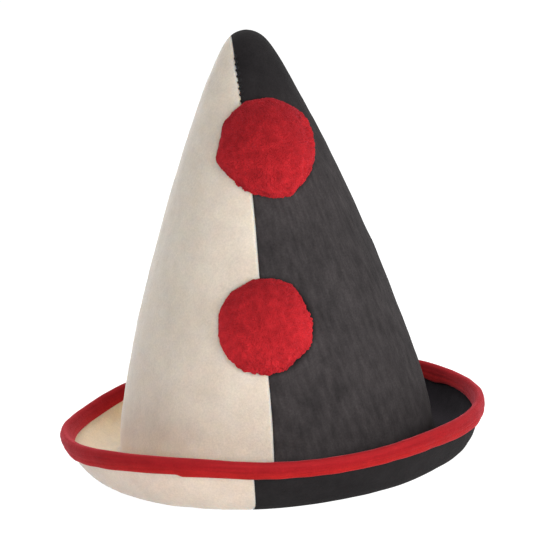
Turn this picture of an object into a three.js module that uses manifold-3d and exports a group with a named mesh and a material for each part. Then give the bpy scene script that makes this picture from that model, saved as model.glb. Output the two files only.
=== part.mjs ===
// Clown hat: a tall felt cone with a rounded tip, cream on one side and black on the other,
// with a turned-up brim, a red tape bound over the brim's edge and two red pompoms in front.
// Millimetres, +Z up. The hat stands on the fold of its brim, and its front faces -Y.

import * as THREE from "three";
import { mergeVertices } from "three/addons/utils/BufferGeometryUtils.js";
import Module from "manifold-3d";

const wasm = await Module();
wasm.setup();

const { degToRad, euclideanModulo, lerp } = THREE.MathUtils;

// Felt
const FELT = 2.2; // wall thickness
const GAP = 0.3; // clearance between neighbouring pieces
const AROUND = 48; // sections round the hat
const MERGE = 1e-4; // points closer than this are one

// Crown, measured on its outer face
const HAT_HEIGHT = 254;
const FOOT_HALF_WIDTH = 93.4; // left to right, where the crown meets the brim
const FOOT_HALF_DEPTH = 102.4; // front to back: the head opening is a little oval
const TIP_RADIUS = 15.2;
const TIP_TURN = degToRad(45); // how far the round tip reaches down from the top
const TIP_PULL = 26; // the side's swell below the tip
const FOOT_PULL = 50; // the side's straightness above the brim

// Brim
const FOLD_RADIUS = 8; // inside of the fold between crown and brim
const REST_WIDTH = 3; // flat ring that the hat stands on
const CROWN_SHIFT = 2.3; // the crown stands this far right of the brim's middle

// One row for each eighth of a turn round the brim, anticlockwise from above: height of the
// felt's edge over the floor, how far the edge stands out from the crown's foot, and the share
// of that way that the flank runs level before it turns up.
const BRIM_SECTIONS = [
  { rise: 28.2, reach: 27.7, swell: 0.82 }, // right
  { rise: 26, reach: 27.8, swell: 0.7 },
  { rise: 28.5, reach: 29.2, swell: 0.68 }, // back
  { rise: 25.8, reach: 30.6, swell: 0.66 },
  { rise: 22.6, reach: 32.2, swell: 0.6 }, // left
  { rise: 31.8, reach: 30.6, swell: 0.56 },
  { rise: 30.9, reach: 29.2, swell: 0.58 }, // front
  { rise: 29.4, reach: 27.8, swell: 0.5 },
];

// Seam between the two felts, seen from above: distance behind the crown's middle and offset
// to the right of it. It slips aside at the tip and on the front of the brim.
const SEAM_PLAN = [
  { behind: -150, aside: -13.5 },
  { behind: -122, aside: -14.5 },
  { behind: -112, aside: -9 },
  { behind: -102, aside: -2.8 },
  { behind: -80, aside: -2.7 },
  { behind: -56, aside: -2.9 },
  { behind: -31, aside: -5.4 },
  { behind: -14, aside: -7.8 },
  { behind: 0, aside: -8.5 },
  { behind: 20, aside: -7.2 },
  { behind: 56, aside: -2.9 },
  { behind: 150, aside: -2.7 },
];
const SEAM_STEPS = 2; // straight cuts between two rows
const SEAM_MARGIN = 10; // how far the cut runs past the hat

// Tape over the brim's edge
const TAPE = 1.5; // thickness of one layer
const TAPE_PUFF = 0.5; // extra thickness of the soft middle
const TAPE_LEG_LONG = 8.2; // length below the felt's edge where the tape ends on top
const TAPE_LEG_SHORT = 7.0; // the same where it starts underneath
const TAPE_JOINT_TURN = 243; // where the two ends of the tape meet
const TAPE_ROUND_STEPS = 6; // facets over the edge
const TAPE_SHOULDER = 0.85; // share of a leg above its thin hem
const TAPE_MIDDLE = 0.45; // share of a leg above which it is fullest

// Pompoms: place of the middle on the crown, radius of the ball, and the flats that scissors cut
// on it, each with its turn from the right side, anticlockwise seen from the front, and its depth.
const POMPOMS = [
  {
    name: "pompom_upper",
    aside: 8.6,
    height: 191.2,
    radius: 31,
    trims: [
      { turn: 19, depth: 1.9 },
      { turn: 80, depth: 2.2 },
      { turn: 105, depth: 2.6 },
      { turn: 137, depth: 2.4 },
      { turn: 172, depth: 3.5 },
      { turn: 199, depth: 1.0 },
      { turn: 223, depth: 2.5 },
      { turn: 236, depth: 2.8 },
      { turn: 258, depth: 1.6 },
      { turn: 285, depth: 1.1 },
      { turn: 330, depth: 3.9 },
      { turn: 345, depth: 3.3 },
    ],
  },
  {
    name: "pompom_lower",
    aside: -0.9,
    height: 96.4,
    radius: 27.6,
    trims: [
      { turn: 18, depth: 2.8 },
      { turn: 36, depth: 1.3 },
      { turn: 84, depth: 0.6 },
      { turn: 112, depth: 0.8 },
      { turn: 177, depth: 0.9 },
      { turn: 255, depth: 0.8 },
      { turn: 281, depth: 1.0 },
      { turn: 309, depth: 2.4 },
      { turn: 353, depth: 1.7 },
    ],
  },
];
const POMPOM_FLATNESS = 0.44; // height of the pressed ball over its radius
const POMPOM_SLOPE = 1.5; // 1 for an upright rim like an egg's, 2 for one that slopes like a lens
const POMPOM_WRAP = 0.8; // share of the crown's curve that the ball follows
const CORE_SEGMENTS = 14; // facets round the head of a pompom
const CORE_RINGS = 9;
const LOCKS = 60; // yarn locks over a whole ball
const LOCK_SIDES = 5;

// Sizes on a pompom, as shares of its radius
const POMPOM_STANDOFF = 0.05; // middle of the ball in front of the felt
const CORE_RADIUS = 0.94; // head that the locks stand on
const LOCK_RADIUS = 0.25; // at its root
const LOCK_TOP_RADIUS = 0.2; // at its shoulder
const LOCK_LENGTH = 0.35; // from root to shoulder
const LOCK_CROWN = 0.1; // rounding above the shoulder
const LOCK_SHOULDER = 0.9; // from the ball's middle
const LOCK_UNEVENNESS = 0.03; // locks are cut a little long or short
const LOCK_BACK_LIMIT = -0.4; // no locks behind this, where the felt is

const FELT_ROUGHNESS = 0.95;
const cream = new THREE.MeshStandardMaterial({ color: 0xddd0be, roughness: FELT_ROUGHNESS, metalness: 0 });
const black = new THREE.MeshStandardMaterial({ color: 0x37343a, roughness: FELT_ROUGHNESS, metalness: 0 });
const red = new THREE.MeshStandardMaterial({ color: 0xb3242b, roughness: FELT_ROUGHNESS, metalness: 0 });

// A closed geometry as a solid, without the triangles that shrink to a line on the axis.
function solidOf(geometry) {
  const bare = geometry.clone();
  bare.deleteAttribute("normal");
  bare.deleteAttribute("uv");
  const merged = mergeVertices(bare, MERGE);
  const corners = merged.index.array;
  const kept = [];
  for (let i = 0; i < corners.length; i += 3) {
    const [a, b, c] = corners.slice(i, i + 3);
    if (a !== b && b !== c && c !== a) kept.push(a, b, c);
  }
  const mesh = new wasm.Mesh({
    numProp: 3,
    vertProperties: merged.attributes.position.array,
    triVerts: new Uint32Array(kept),
  });
  return new wasm.Manifold(mesh);
}

function geometryOf(solid) {
  const { vertProperties, triVerts } = solid.getMesh();
  const geometry = new THREE.BufferGeometry();
  geometry.setAttribute("position", new THREE.BufferAttribute(vertProperties, 3));
  geometry.setIndex(new THREE.BufferAttribute(triVerts, 1));
  geometry.computeVertexNormals();
  return geometry;
}

function named(name, geometry, material) {
  const mesh = new THREE.Mesh(geometry, material);
  mesh.name = name;
  return mesh;
}

// Skin over sections that stand in a ring. Each section is a list of points of the same length,
// which either starts and ends on the axis or, for a tube, closes on itself.
function loft(sections, isTube) {
  const count = sections[0].length;
  const spans = isTube ? count : count - 1;
  const index = [];
  sections.forEach((_, i) => {
    const here = i * count;
    const next = ((i + 1) % sections.length) * count;
    for (let j = 0; j < spans; j++) {
      const k = (j + 1) % count;
      index.push(here + j, here + k, next + k);
      index.push(here + j, next + k, next + j);
    }
  });
  const geometry = new THREE.BufferGeometry().setFromPoints(sections.flat());
  return geometry.setIndex(index);
}

// Sections at equal turns round the hat, each made from the brim's row there.
function aroundHat(makeSection) {
  return Array.from({ length: AROUND }, (_, i) => {
    const turn = (2 * Math.PI * i) / AROUND;
    return makeSection(brimAt(turn), turn);
  });
}

const brimCurve = new THREE.CatmullRomCurve3(
  BRIM_SECTIONS.map(({ rise, reach, swell }) => new THREE.Vector3(rise, reach, swell)),
  true,
  "catmullrom",
);

function brimAt(turn) {
  const { x: rise, y: reach, z: swell } = brimCurve.getPoint(turn / (2 * Math.PI));
  return { rise, reach, swell };
}

// Where a point of a section lies on the oval hat: the crown's width is stretched to its depth,
// and the brim keeps its reach all round.
function place({ x: radius, y: height }, turn) {
  const depth =
    radius < FOOT_HALF_WIDTH
      ? (radius * FOOT_HALF_DEPTH) / FOOT_HALF_WIDTH
      : radius + FOOT_HALF_DEPTH - FOOT_HALF_WIDTH;
  return new THREE.Vector3(radius * Math.cos(turn), depth * Math.sin(turn), height);
}

// The crown's outer face from the tip to the fold: an arc, then one swelling curve.
function crownCurves() {
  const centre = HAT_HEIGHT - TIP_RADIUS;
  const tip = new THREE.EllipseCurve(
    0, centre, TIP_RADIUS, TIP_RADIUS, Math.PI / 2, Math.PI / 2 - TIP_TURN, true,
  );
  const shoulder = tip.getPoint(1);
  const lean = tip.getTangent(1);
  const foot = new THREE.Vector2(FOOT_HALF_WIDTH, FELT + FOLD_RADIUS);
  const side = new THREE.CubicBezierCurve(
    shoulder,
    shoulder.clone().addScaledVector(lean, TIP_PULL),
    foot.clone().add(new THREE.Vector2(0, FOOT_PULL)),
    foot,
  );
  return [
    { curve: tip, steps: 3 },
    { curve: side, steps: 10 },
  ];
}

// The brim's upper face from the fold to its edge.
function brimCurves({ rise, reach, swell }) {
  const foldEnd = FOOT_HALF_WIDTH + FOLD_RADIUS;
  const fold = new THREE.EllipseCurve(
    foldEnd, FELT + FOLD_RADIUS, FOLD_RADIUS, FOLD_RADIUS, Math.PI, 1.5 * Math.PI, false,
  );
  const rest = new THREE.LineCurve(
    new THREE.Vector2(foldEnd, FELT),
    new THREE.Vector2(foldEnd + REST_WIDTH, FELT),
  );
  const edge = new THREE.Vector2(FOOT_HALF_WIDTH + reach, rise);
  const turnUp = new THREE.Vector2(lerp(rest.v2.x, edge.x, swell), FELT);
  const flank = new THREE.QuadraticBezierCurve(rest.v2, turnUp, edge);
  return [
    { curve: fold, steps: 3 },
    { curve: rest, steps: 1 },
    { curve: flank, steps: 5 },
  ];
}

// Points along joined curves, each with the direction from the outer face into the felt.
function walk(curves) {
  const stops = curves.flatMap(({ curve, steps }, part) => {
    const first = part === 0 ? 0 : 1;
    return Array.from({ length: steps + 1 - first }, (_, i) => {
      const t = (i + first) / steps;
      const along = curve.getTangent(t);
      return { point: curve.getPoint(t), inward: new THREE.Vector2(along.y, -along.x) };
    });
  });
  stops[0].point.x = 0;
  stops[0].inward.set(0, -1);
  return stops;
}

function offset({ point, inward }, distance) {
  return point.clone().addScaledVector(inward, distance);
}

// The whole felt body, crown and brim in one wall, before it is split along the seam.
function feltBody() {
  const sections = aroundHat((brim, turn) => {
    const stops = walk([...crownCurves(), ...brimCurves(brim)]);
    const outer = stops.map((stop) => offset(stop, 0));
    const inner = stops.map((stop) => offset(stop, FELT)).reverse();
    return [...outer, ...inner].map((p) => place(p, turn));
  });
  return solidOf(loft(sections, false));
}

// Everything on the cream side of the seam, moved over to the right by a clearance.
function creamSide(clearance) {
  const far = -2 * FOOT_HALF_WIDTH;
  const seam = SEAM_PLAN.map(({ behind, aside }) => new THREE.Vector2(aside, behind));
  const plan = new THREE.Shape();
  plan.moveTo(far, seam[0].y);
  plan.lineTo(seam[0].x, seam[0].y);
  plan.splineThru(seam.slice(1));
  plan.lineTo(far, seam.at(-1).y);
  plan.closePath();
  const depth = HAT_HEIGHT + 2 * SEAM_MARGIN;
  const block = new THREE.ExtrudeGeometry(plan, { depth, bevelEnabled: false, curveSegments: SEAM_STEPS });
  block.translate(clearance, 0, -SEAM_MARGIN);
  return solidOf(block);
}

// Length of the tape's legs at a turn. The tape is long where its end laps over its start,
// and works its way back to short round the hat.
function tapeLeg(turn) {
  const gone = euclideanModulo(turn - degToRad(TAPE_JOINT_TURN), 2 * Math.PI) / (2 * Math.PI);
  return lerp(TAPE_LEG_LONG, TAPE_LEG_SHORT, gone);
}

// Section of the folded tape: x runs up past the felt's edge, y across the felt to the crown.
function tapeSection(leg) {
  const slot = FELT / 2 + GAP;
  const skin = slot + TAPE;
  const outside = [
    { x: -leg, y: slot + TAPE / 2 },
    { x: -TAPE_SHOULDER * leg, y: skin },
    { x: -TAPE_MIDDLE * leg, y: skin + TAPE_PUFF },
  ];
  const over = Array.from({ length: TAPE_ROUND_STEPS + 1 }, (_, i) => {
    const angle = Math.PI / 2 - (Math.PI * i) / TAPE_ROUND_STEPS;
    return { x: skin * Math.cos(angle), y: skin * Math.sin(angle) };
  });
  const inside = outside.toReversed().map(({ x, y }) => ({ x, y: -y }));
  const pocket = [
    { x: -leg, y: -slot },
    { x: -TAPE_MIDDLE * leg, y: -slot },
    { x: GAP, y: -slot },
    { x: GAP, y: slot },
    { x: -TAPE_MIDDLE * leg, y: slot },
    { x: -leg, y: slot },
  ];
  return [...outside, ...over, ...inside, ...pocket];
}

// Tape folded over the felt's edge all the way round, its legs following the flank's curve.
function brimTape() {
  const sections = aroundHat((brim, turn) => {
    const flank = brimCurves(brim).at(-1).curve;
    const length = flank.getLength();
    return tapeSection(tapeLeg(turn)).map(({ x, y }) => {
      const share = Math.min(1, 1 + x / length);
      const up = flank.getTangentAt(share);
      const toCrown = new THREE.Vector2(-up.y, up.x);
      const spot = flank.getPointAt(share);
      spot.addScaledVector(up, Math.max(0, x)).addScaledVector(toCrown, y - FELT / 2);
      return place(spot, turn);
    });
  });
  return loft(sections, true);
}

// Solid filling of the crown's outer face, swollen by a clearance.
function crownFilling(clearance) {
  const sections = aroundHat((_, turn) => {
    const outer = walk(crownCurves()).map((stop) => offset(stop, -clearance));
    const floor = new THREE.Vector2(0, outer.at(-1).y);
    return [...outer, floor].map((p) => place(p, turn));
  });
  return loft(sections, false);
}

// The crown's half width at a height, between two stops of its outline.
function crownHalfWidth(height) {
  const stops = walk(crownCurves());
  const below = stops.findIndex(({ point }) => point.y <= height);
  const [high, low] = [stops[below - 1].point, stops[below].point];
  return lerp(low.x, high.x, (height - low.y) / (high.y - low.y));
}

// Where the crown's front face lies at a height and an offset from its middle.
function crownFace(aside, height) {
  const depth = FOOT_HALF_DEPTH / FOOT_HALF_WIDTH;
  return -depth * Math.sqrt(Math.max(0, crownHalfWidth(height) ** 2 - aside ** 2));
}

// The crown's outward direction on its front at a height and an offset from its middle.
function crownNormal(aside, height) {
  const across = crownFace(aside + 1, height) - crownFace(aside - 1, height);
  const up = crownFace(aside, height + 1) - crownFace(aside, height - 1);
  return new THREE.Vector3(across, -2, up).normalize();
}

// One rounded lock of yarn on a ball of radius 1, its shoulder at the origin, pointing along +Z.
function yarnLock() {
  const outline = [
    new THREE.Vector2(0, -LOCK_LENGTH),
    new THREE.Vector2(LOCK_RADIUS, -LOCK_LENGTH),
    new THREE.Vector2(LOCK_TOP_RADIUS, 0),
    new THREE.Vector2(0, LOCK_CROWN),
  ];
  return new THREE.LatheGeometry(outline, LOCK_SIDES).rotateX(Math.PI / 2);
}

// A round ball of radius 1 with locks all over it, evenly spread by the golden angle.
function lockedBall() {
  const core = new THREE.SphereGeometry(CORE_RADIUS, CORE_SEGMENTS, CORE_RINGS);
  let ball = solidOf(core.rotateX(Math.PI / 2));
  const goldenAngle = Math.PI * (3 - Math.sqrt(5));
  const out = new THREE.Vector3(0, 0, 1);
  for (let i = 0; i < LOCKS; i++) {
    const height = 1 - (2 * i + 1) / LOCKS;
    if (height < LOCK_BACK_LIMIT) continue;
    const ring = Math.sqrt(1 - height ** 2);
    const turn = i * goldenAngle;
    const direction = new THREE.Vector3(ring * Math.cos(turn), ring * Math.sin(turn), height);
    const uneven = LOCK_UNEVENNESS * Math.sin(7 * i);
    const lock = yarnLock();
    lock.applyQuaternion(new THREE.Quaternion().setFromUnitVectors(out, direction));
    lock.translate(...direction.multiplyScalar(LOCK_SHOULDER + uneven).toArray());
    ball = ball.add(solidOf(lock));
  }
  return geometryOf(ball);
}

// How far scissors left the ball in a direction: its radius, or the way to the nearest flat.
function trimmedRadius({ radius, trims }, direction) {
  const ways = trims.map(({ turn, depth }) => {
    const facing = direction.x * Math.cos(degToRad(turn)) + direction.y * Math.sin(degToRad(turn));
    return facing > 0 ? (radius - depth) / facing : radius;
  });
  return Math.min(radius, ...ways);
}

// The ball at its size on a stand, +Z away from the felt: trimmed, pressed flat, and bent back
// with the crown's face, which falls away behind the plane that touches it at the stand.
function pompomBall(row, stand) {
  const ball = lockedBall();
  const outward = new THREE.Vector3(0, 0, 1).applyQuaternion(stand.quaternion);
  const points = ball.attributes.position;
  const point = new THREE.Vector3();
  for (let i = 0; i < points.count; i++) {
    point.fromBufferAttribute(points, i);
    const size = trimmedRadius(row, point.clone().normalize());
    const pressed = POMPOM_FLATNESS * Math.abs(point.z) ** (POMPOM_SLOPE - 1);
    point.multiply(new THREE.Vector3(size, size, size * pressed));
    const level = new THREE.Vector3(point.x, point.y, 0).applyMatrix4(stand.matrix);
    const fall = (level.y - crownFace(level.x, level.z)) * outward.y;
    point.z += POMPOM_STANDOFF * row.radius - POMPOM_WRAP * fall;
    points.setXYZ(i, point.x, point.y, point.z);
  }
  return ball;
}

// A pompom pressed against the crown, its back hollowed to the felt's curve.
function pompom(row) {
  const stand = new THREE.Object3D();
  stand.position.set(row.aside, crownFace(row.aside, row.height), row.height);
  stand.quaternion.setFromUnitVectors(new THREE.Vector3(0, 0, 1), crownNormal(row.aside, row.height));
  stand.updateMatrix();
  const crown = crownFilling(GAP).applyMatrix4(stand.matrix.clone().invert());
  const pressed = solidOf(pompomBall(row, stand)).subtract(solidOf(crown));
  const mesh = named(row.name, geometryOf(pressed), red);
  mesh.position.copy(stand.position);
  mesh.quaternion.copy(stand.quaternion);
  return mesh;
}

const felt = feltBody();
const hat = new THREE.Group();
hat.position.x = CROWN_SHIFT;
hat.add(named("felt_cream", geometryOf(felt.intersect(creamSide(0))), cream));
hat.add(named("felt_black", geometryOf(felt.subtract(creamSide(GAP))), black));
hat.add(named("brim_tape", brimTape(), red));
POMPOMS.forEach((row) => hat.add(pompom(row)));

export default new THREE.Group().add(hat);
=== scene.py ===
"""Looks of a clown hat: a felt cone, half cream and half black, with a red-bound brim and two pompoms.

Every surface is worked out with numpy in metres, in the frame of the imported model: +Z is up, the hat's
front faces -Y and its brim stands on z = 0.
"""

import logging
import math
from dataclasses import dataclass, field
from enum import Enum

import bmesh
import bpy
import numpy as np
from mathutils import Matrix, Vector


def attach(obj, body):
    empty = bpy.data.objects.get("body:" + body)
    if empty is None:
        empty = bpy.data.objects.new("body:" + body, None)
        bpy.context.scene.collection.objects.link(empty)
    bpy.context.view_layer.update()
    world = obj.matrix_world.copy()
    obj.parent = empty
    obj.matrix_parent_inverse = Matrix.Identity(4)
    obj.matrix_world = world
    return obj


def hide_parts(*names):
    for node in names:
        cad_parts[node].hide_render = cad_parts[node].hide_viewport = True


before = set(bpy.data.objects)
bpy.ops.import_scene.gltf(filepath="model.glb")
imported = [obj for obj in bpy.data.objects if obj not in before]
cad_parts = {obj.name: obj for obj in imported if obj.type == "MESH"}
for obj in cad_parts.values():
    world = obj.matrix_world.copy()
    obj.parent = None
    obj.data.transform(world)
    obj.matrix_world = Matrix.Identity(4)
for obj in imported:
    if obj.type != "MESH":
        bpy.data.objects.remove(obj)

log = logging.getLogger("clown_hat")

Array = np.ndarray
Colour = tuple[float, float, float]
Place = tuple[float, float, float]
Span = tuple[float, float]
Socket = bpy.types.NodeSocket

MM = 0.001
FULL_TURN = 2 * math.pi
TINY = 1e-9
BODY = "root"
MERGE_DISTANCE = 2e-6
# Values between which nearly all of a noise lies
NOISE_SPAN = (0.3, 0.7)


def smooth_step(value: Array) -> Array:
    """Ease from 0 to 1 as the value goes from 0 to 1: 3v^2 - 2v^3 of the clipped value."""
    clipped = np.clip(value, 0.0, 1.0)
    return clipped * clipped * (3 - 2 * clipped)


def bell(value: Array, width: float) -> Array:
    """A bell of height 1 at 0: e to the power of minus the square of value over width."""
    return np.exp(-((value / width) ** 2))


def unit(vectors: Array) -> Array:
    """The same directions with a length of 1."""
    return vectors / np.linalg.norm(vectors, axis=-1, keepdims=True)


def turn_between(turn: Array, other: float) -> Array:
    """The signed turn from another one, between minus and plus half a turn."""
    return (turn - other + math.pi) % FULL_TURN - math.pi


def side_by_side(*parts: Array) -> Array:
    """Arrays joined column after column."""
    return np.concatenate(parts, axis=1)


def rings(first: Array, second: Array, sides: int) -> Array:
    """Round rings in the planes of pairs of directions: first times cosine plus second times sine."""
    angle = np.linspace(0, FULL_TURN, sides, endpoint=False)[:, None]
    return first[:, None] * np.cos(angle) + second[:, None] * np.sin(angle)


def distance_gone(points: Array) -> Array:
    """Length of the way along rows of points up to each point, the sum of the steps before it.

    Args:
        points: Rows of points, with x, y, z in the last axis.

    Returns:
        One length for each point, 0 at the first of a row.
    """
    steps = np.linalg.norm(np.diff(points, axis=-2), axis=-1)
    gone = np.cumsum(steps, axis=-1)
    return np.concatenate([np.zeros_like(gone[..., :1]), gone], axis=-1)


def ripple(points: Array, length: float, seed: int, waves: int = 28) -> Array:
    """Smooth unevenness through space, about 0 with a variance of 1.

    The sum of sine waves of nearly one length that run in seeded random directions.

    Args:
        points: Places to read, with x, y, z in the last axis.
        length: Length of the waves.
        seed: Seed of the directions and phases.
        waves: Number of waves.

    Returns:
        One value for each place.
    """
    draw = np.random.default_rng(seed)
    ways = unit(draw.normal(size=(waves, 3)))
    ways *= draw.uniform(0.7, 1.4, size=(waves, 1)) * FULL_TURN / length
    phases = draw.uniform(0, FULL_TURN, size=waves)
    return np.sin(points @ ways.T + phases).sum(axis=-1) * math.sqrt(2 / waves)


def between(before: Array, start: Array, end: Array, after: Array, share: Array) -> Array:
    """Values on a Catmull-Rom curve between two of its points.

    The cubic that leaves start by half the step from before to end, and reaches end by half the step from
    start to after.

    Args:
        before: The point before the start.
        start: The point at which the span starts.
        end: The point at which it ends.
        after: The point after the end.
        share: Way along the span, from 0 to 1.

    Returns:
        The values in the last axis.
    """
    leave, arrive = (end - before) / 2, (after - start) / 2
    bend = 3 * (end - start) - 2 * leave - arrive
    twist = 2 * (start - end) + leave + arrive
    return start + share * (leave + share * (bend + share * twist))


def closed_curve(rows: Array, turn: Array) -> Array:
    """Values at a turn on a closed Catmull-Rom curve through rows that stand at equal turns.

    Args:
        rows: One row of values for each of the equal turns, the first at turn 0.
        turn: Turns to read.

    Returns:
        The values in the last axis.
    """
    count = len(rows)
    step = (np.asarray(turn) / FULL_TURN * count) % count
    here = np.floor(step).astype(int) % count
    share = (step - np.floor(step))[..., None]
    return between(*(rows[(here + shift) % count] for shift in (-1, 0, 1, 2)), share)


def grid_quads(rows: int, columns: int, ring: bool = False, tube: bool = False) -> Array:
    """Corner numbers of the faces between the points of a grid, numbered row by row.

    Args:
        rows: Rows of points.
        columns: Points in a row.
        ring: Join the last row to the first.
        tube: Join the last column to the first.

    Returns:
        Four corner numbers for each face.
    """
    row = np.arange(rows if ring else rows - 1)[:, None]
    column = np.arange(columns if tube else columns - 1)[None, :]
    next_row = (row + 1) % rows
    next_column = (column + 1) % columns
    corners = [
        row * columns + column,
        next_row * columns + column,
        next_row * columns + next_column,
        row * columns + next_column,
    ]
    return np.stack(corners, axis=-1).reshape(-1, 4)


@dataclass(frozen=True)
class Wave:
    """Smooth unevenness of a surface: its depth, its length and the seed of its directions."""

    depth: float
    length: float
    seed: int

    def at(self, points: Array) -> Array:
        """How far the surface stands out at each place."""
        return self.depth * ripple(points, self.length, self.seed)


@dataclass
class Skin:
    """A mesh in the making.

    Attributes:
        points: Places, three columns.
        quads: Faces with four corners.
        triangles: Faces with three corners.
        flat: Place of each point on the unrolled surface, in metres, two columns.
        marks: Named values at each point, which materials read.
    """

    points: Array
    quads: Array
    triangles: Array = field(default_factory=lambda: np.zeros((0, 3), int))
    flat: Array | None = None
    marks: dict[str, Array] = field(default_factory=dict)

    def piece(self, name: str, material: bpy.types.Material) -> bpy.types.Object:
        """Makes the mesh, merges its double points and links it to the scene.

        Args:
            name: Name of the new piece.
            material: Its finish.

        Returns:
            The new piece, at the origin.
        """
        mesh = bpy.data.meshes.new(name)
        corners = np.concatenate([self.quads.ravel(), self.triangles.ravel()]).astype(np.int32)
        quad_starts = 4 * np.arange(len(self.quads))
        triangle_starts = 4 * len(self.quads) + 3 * np.arange(len(self.triangles))
        starts = np.concatenate([quad_starts, triangle_starts]).astype(np.int32)
        mesh.vertices.add(len(self.points))
        mesh.vertices.foreach_set("co", self.points.astype(np.float32).ravel())
        mesh.loops.add(len(corners))
        mesh.loops.foreach_set("vertex_index", corners)
        mesh.polygons.add(len(starts))
        mesh.polygons.foreach_set("loop_start", starts)
        mesh.update(calc_edges=True)
        if self.flat is not None:
            layer = mesh.uv_layers.new(name="flat")
            layer.data.foreach_set("uv", self.flat[corners].astype(np.float32).ravel())
        for mark, values in self.marks.items():
            attribute = mesh.attributes.new(mark, "FLOAT", "POINT")
            attribute.data.foreach_set("value", values.astype(np.float32))
        self.merge_doubles(mesh)
        mesh.shade_smooth()
        mesh.materials.append(material)
        made = bpy.data.objects.new(name, mesh)
        bpy.context.scene.collection.objects.link(made)
        return made

    @staticmethod
    def merge_doubles(mesh: bpy.types.Mesh) -> None:
        """Closes seams and poles by joining points that lie in one place.

        Args:
            mesh: The mesh to close.
        """
        edit = bmesh.new()
        edit.from_mesh(mesh)
        bmesh.ops.remove_doubles(edit, verts=edit.verts, dist=MERGE_DISTANCE)
        edit.to_mesh(mesh)
        edit.free()


@dataclass(frozen=True)
class Noise:
    """A cloudy noise: its cells to the metre, its detail and its roughness."""

    scale: float
    detail: float
    roughness: float = 0.5


@dataclass(frozen=True)
class Strokes:
    """A noise drawn out over the unrolled surface: its cells to the metre across and along, and its lean."""

    across: float
    along: float
    lean: float = 0.0


@dataclass(frozen=True)
class Relief:
    """How deep a bump is and how strongly it shows."""

    depth: float
    strength: float


@dataclass(frozen=True)
class Sheen:
    """Light caught by fibres that stand off a fabric, and the little gloss under it."""

    weight: float
    roughness: float
    tint: Colour
    gloss: float = 0.15


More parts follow.
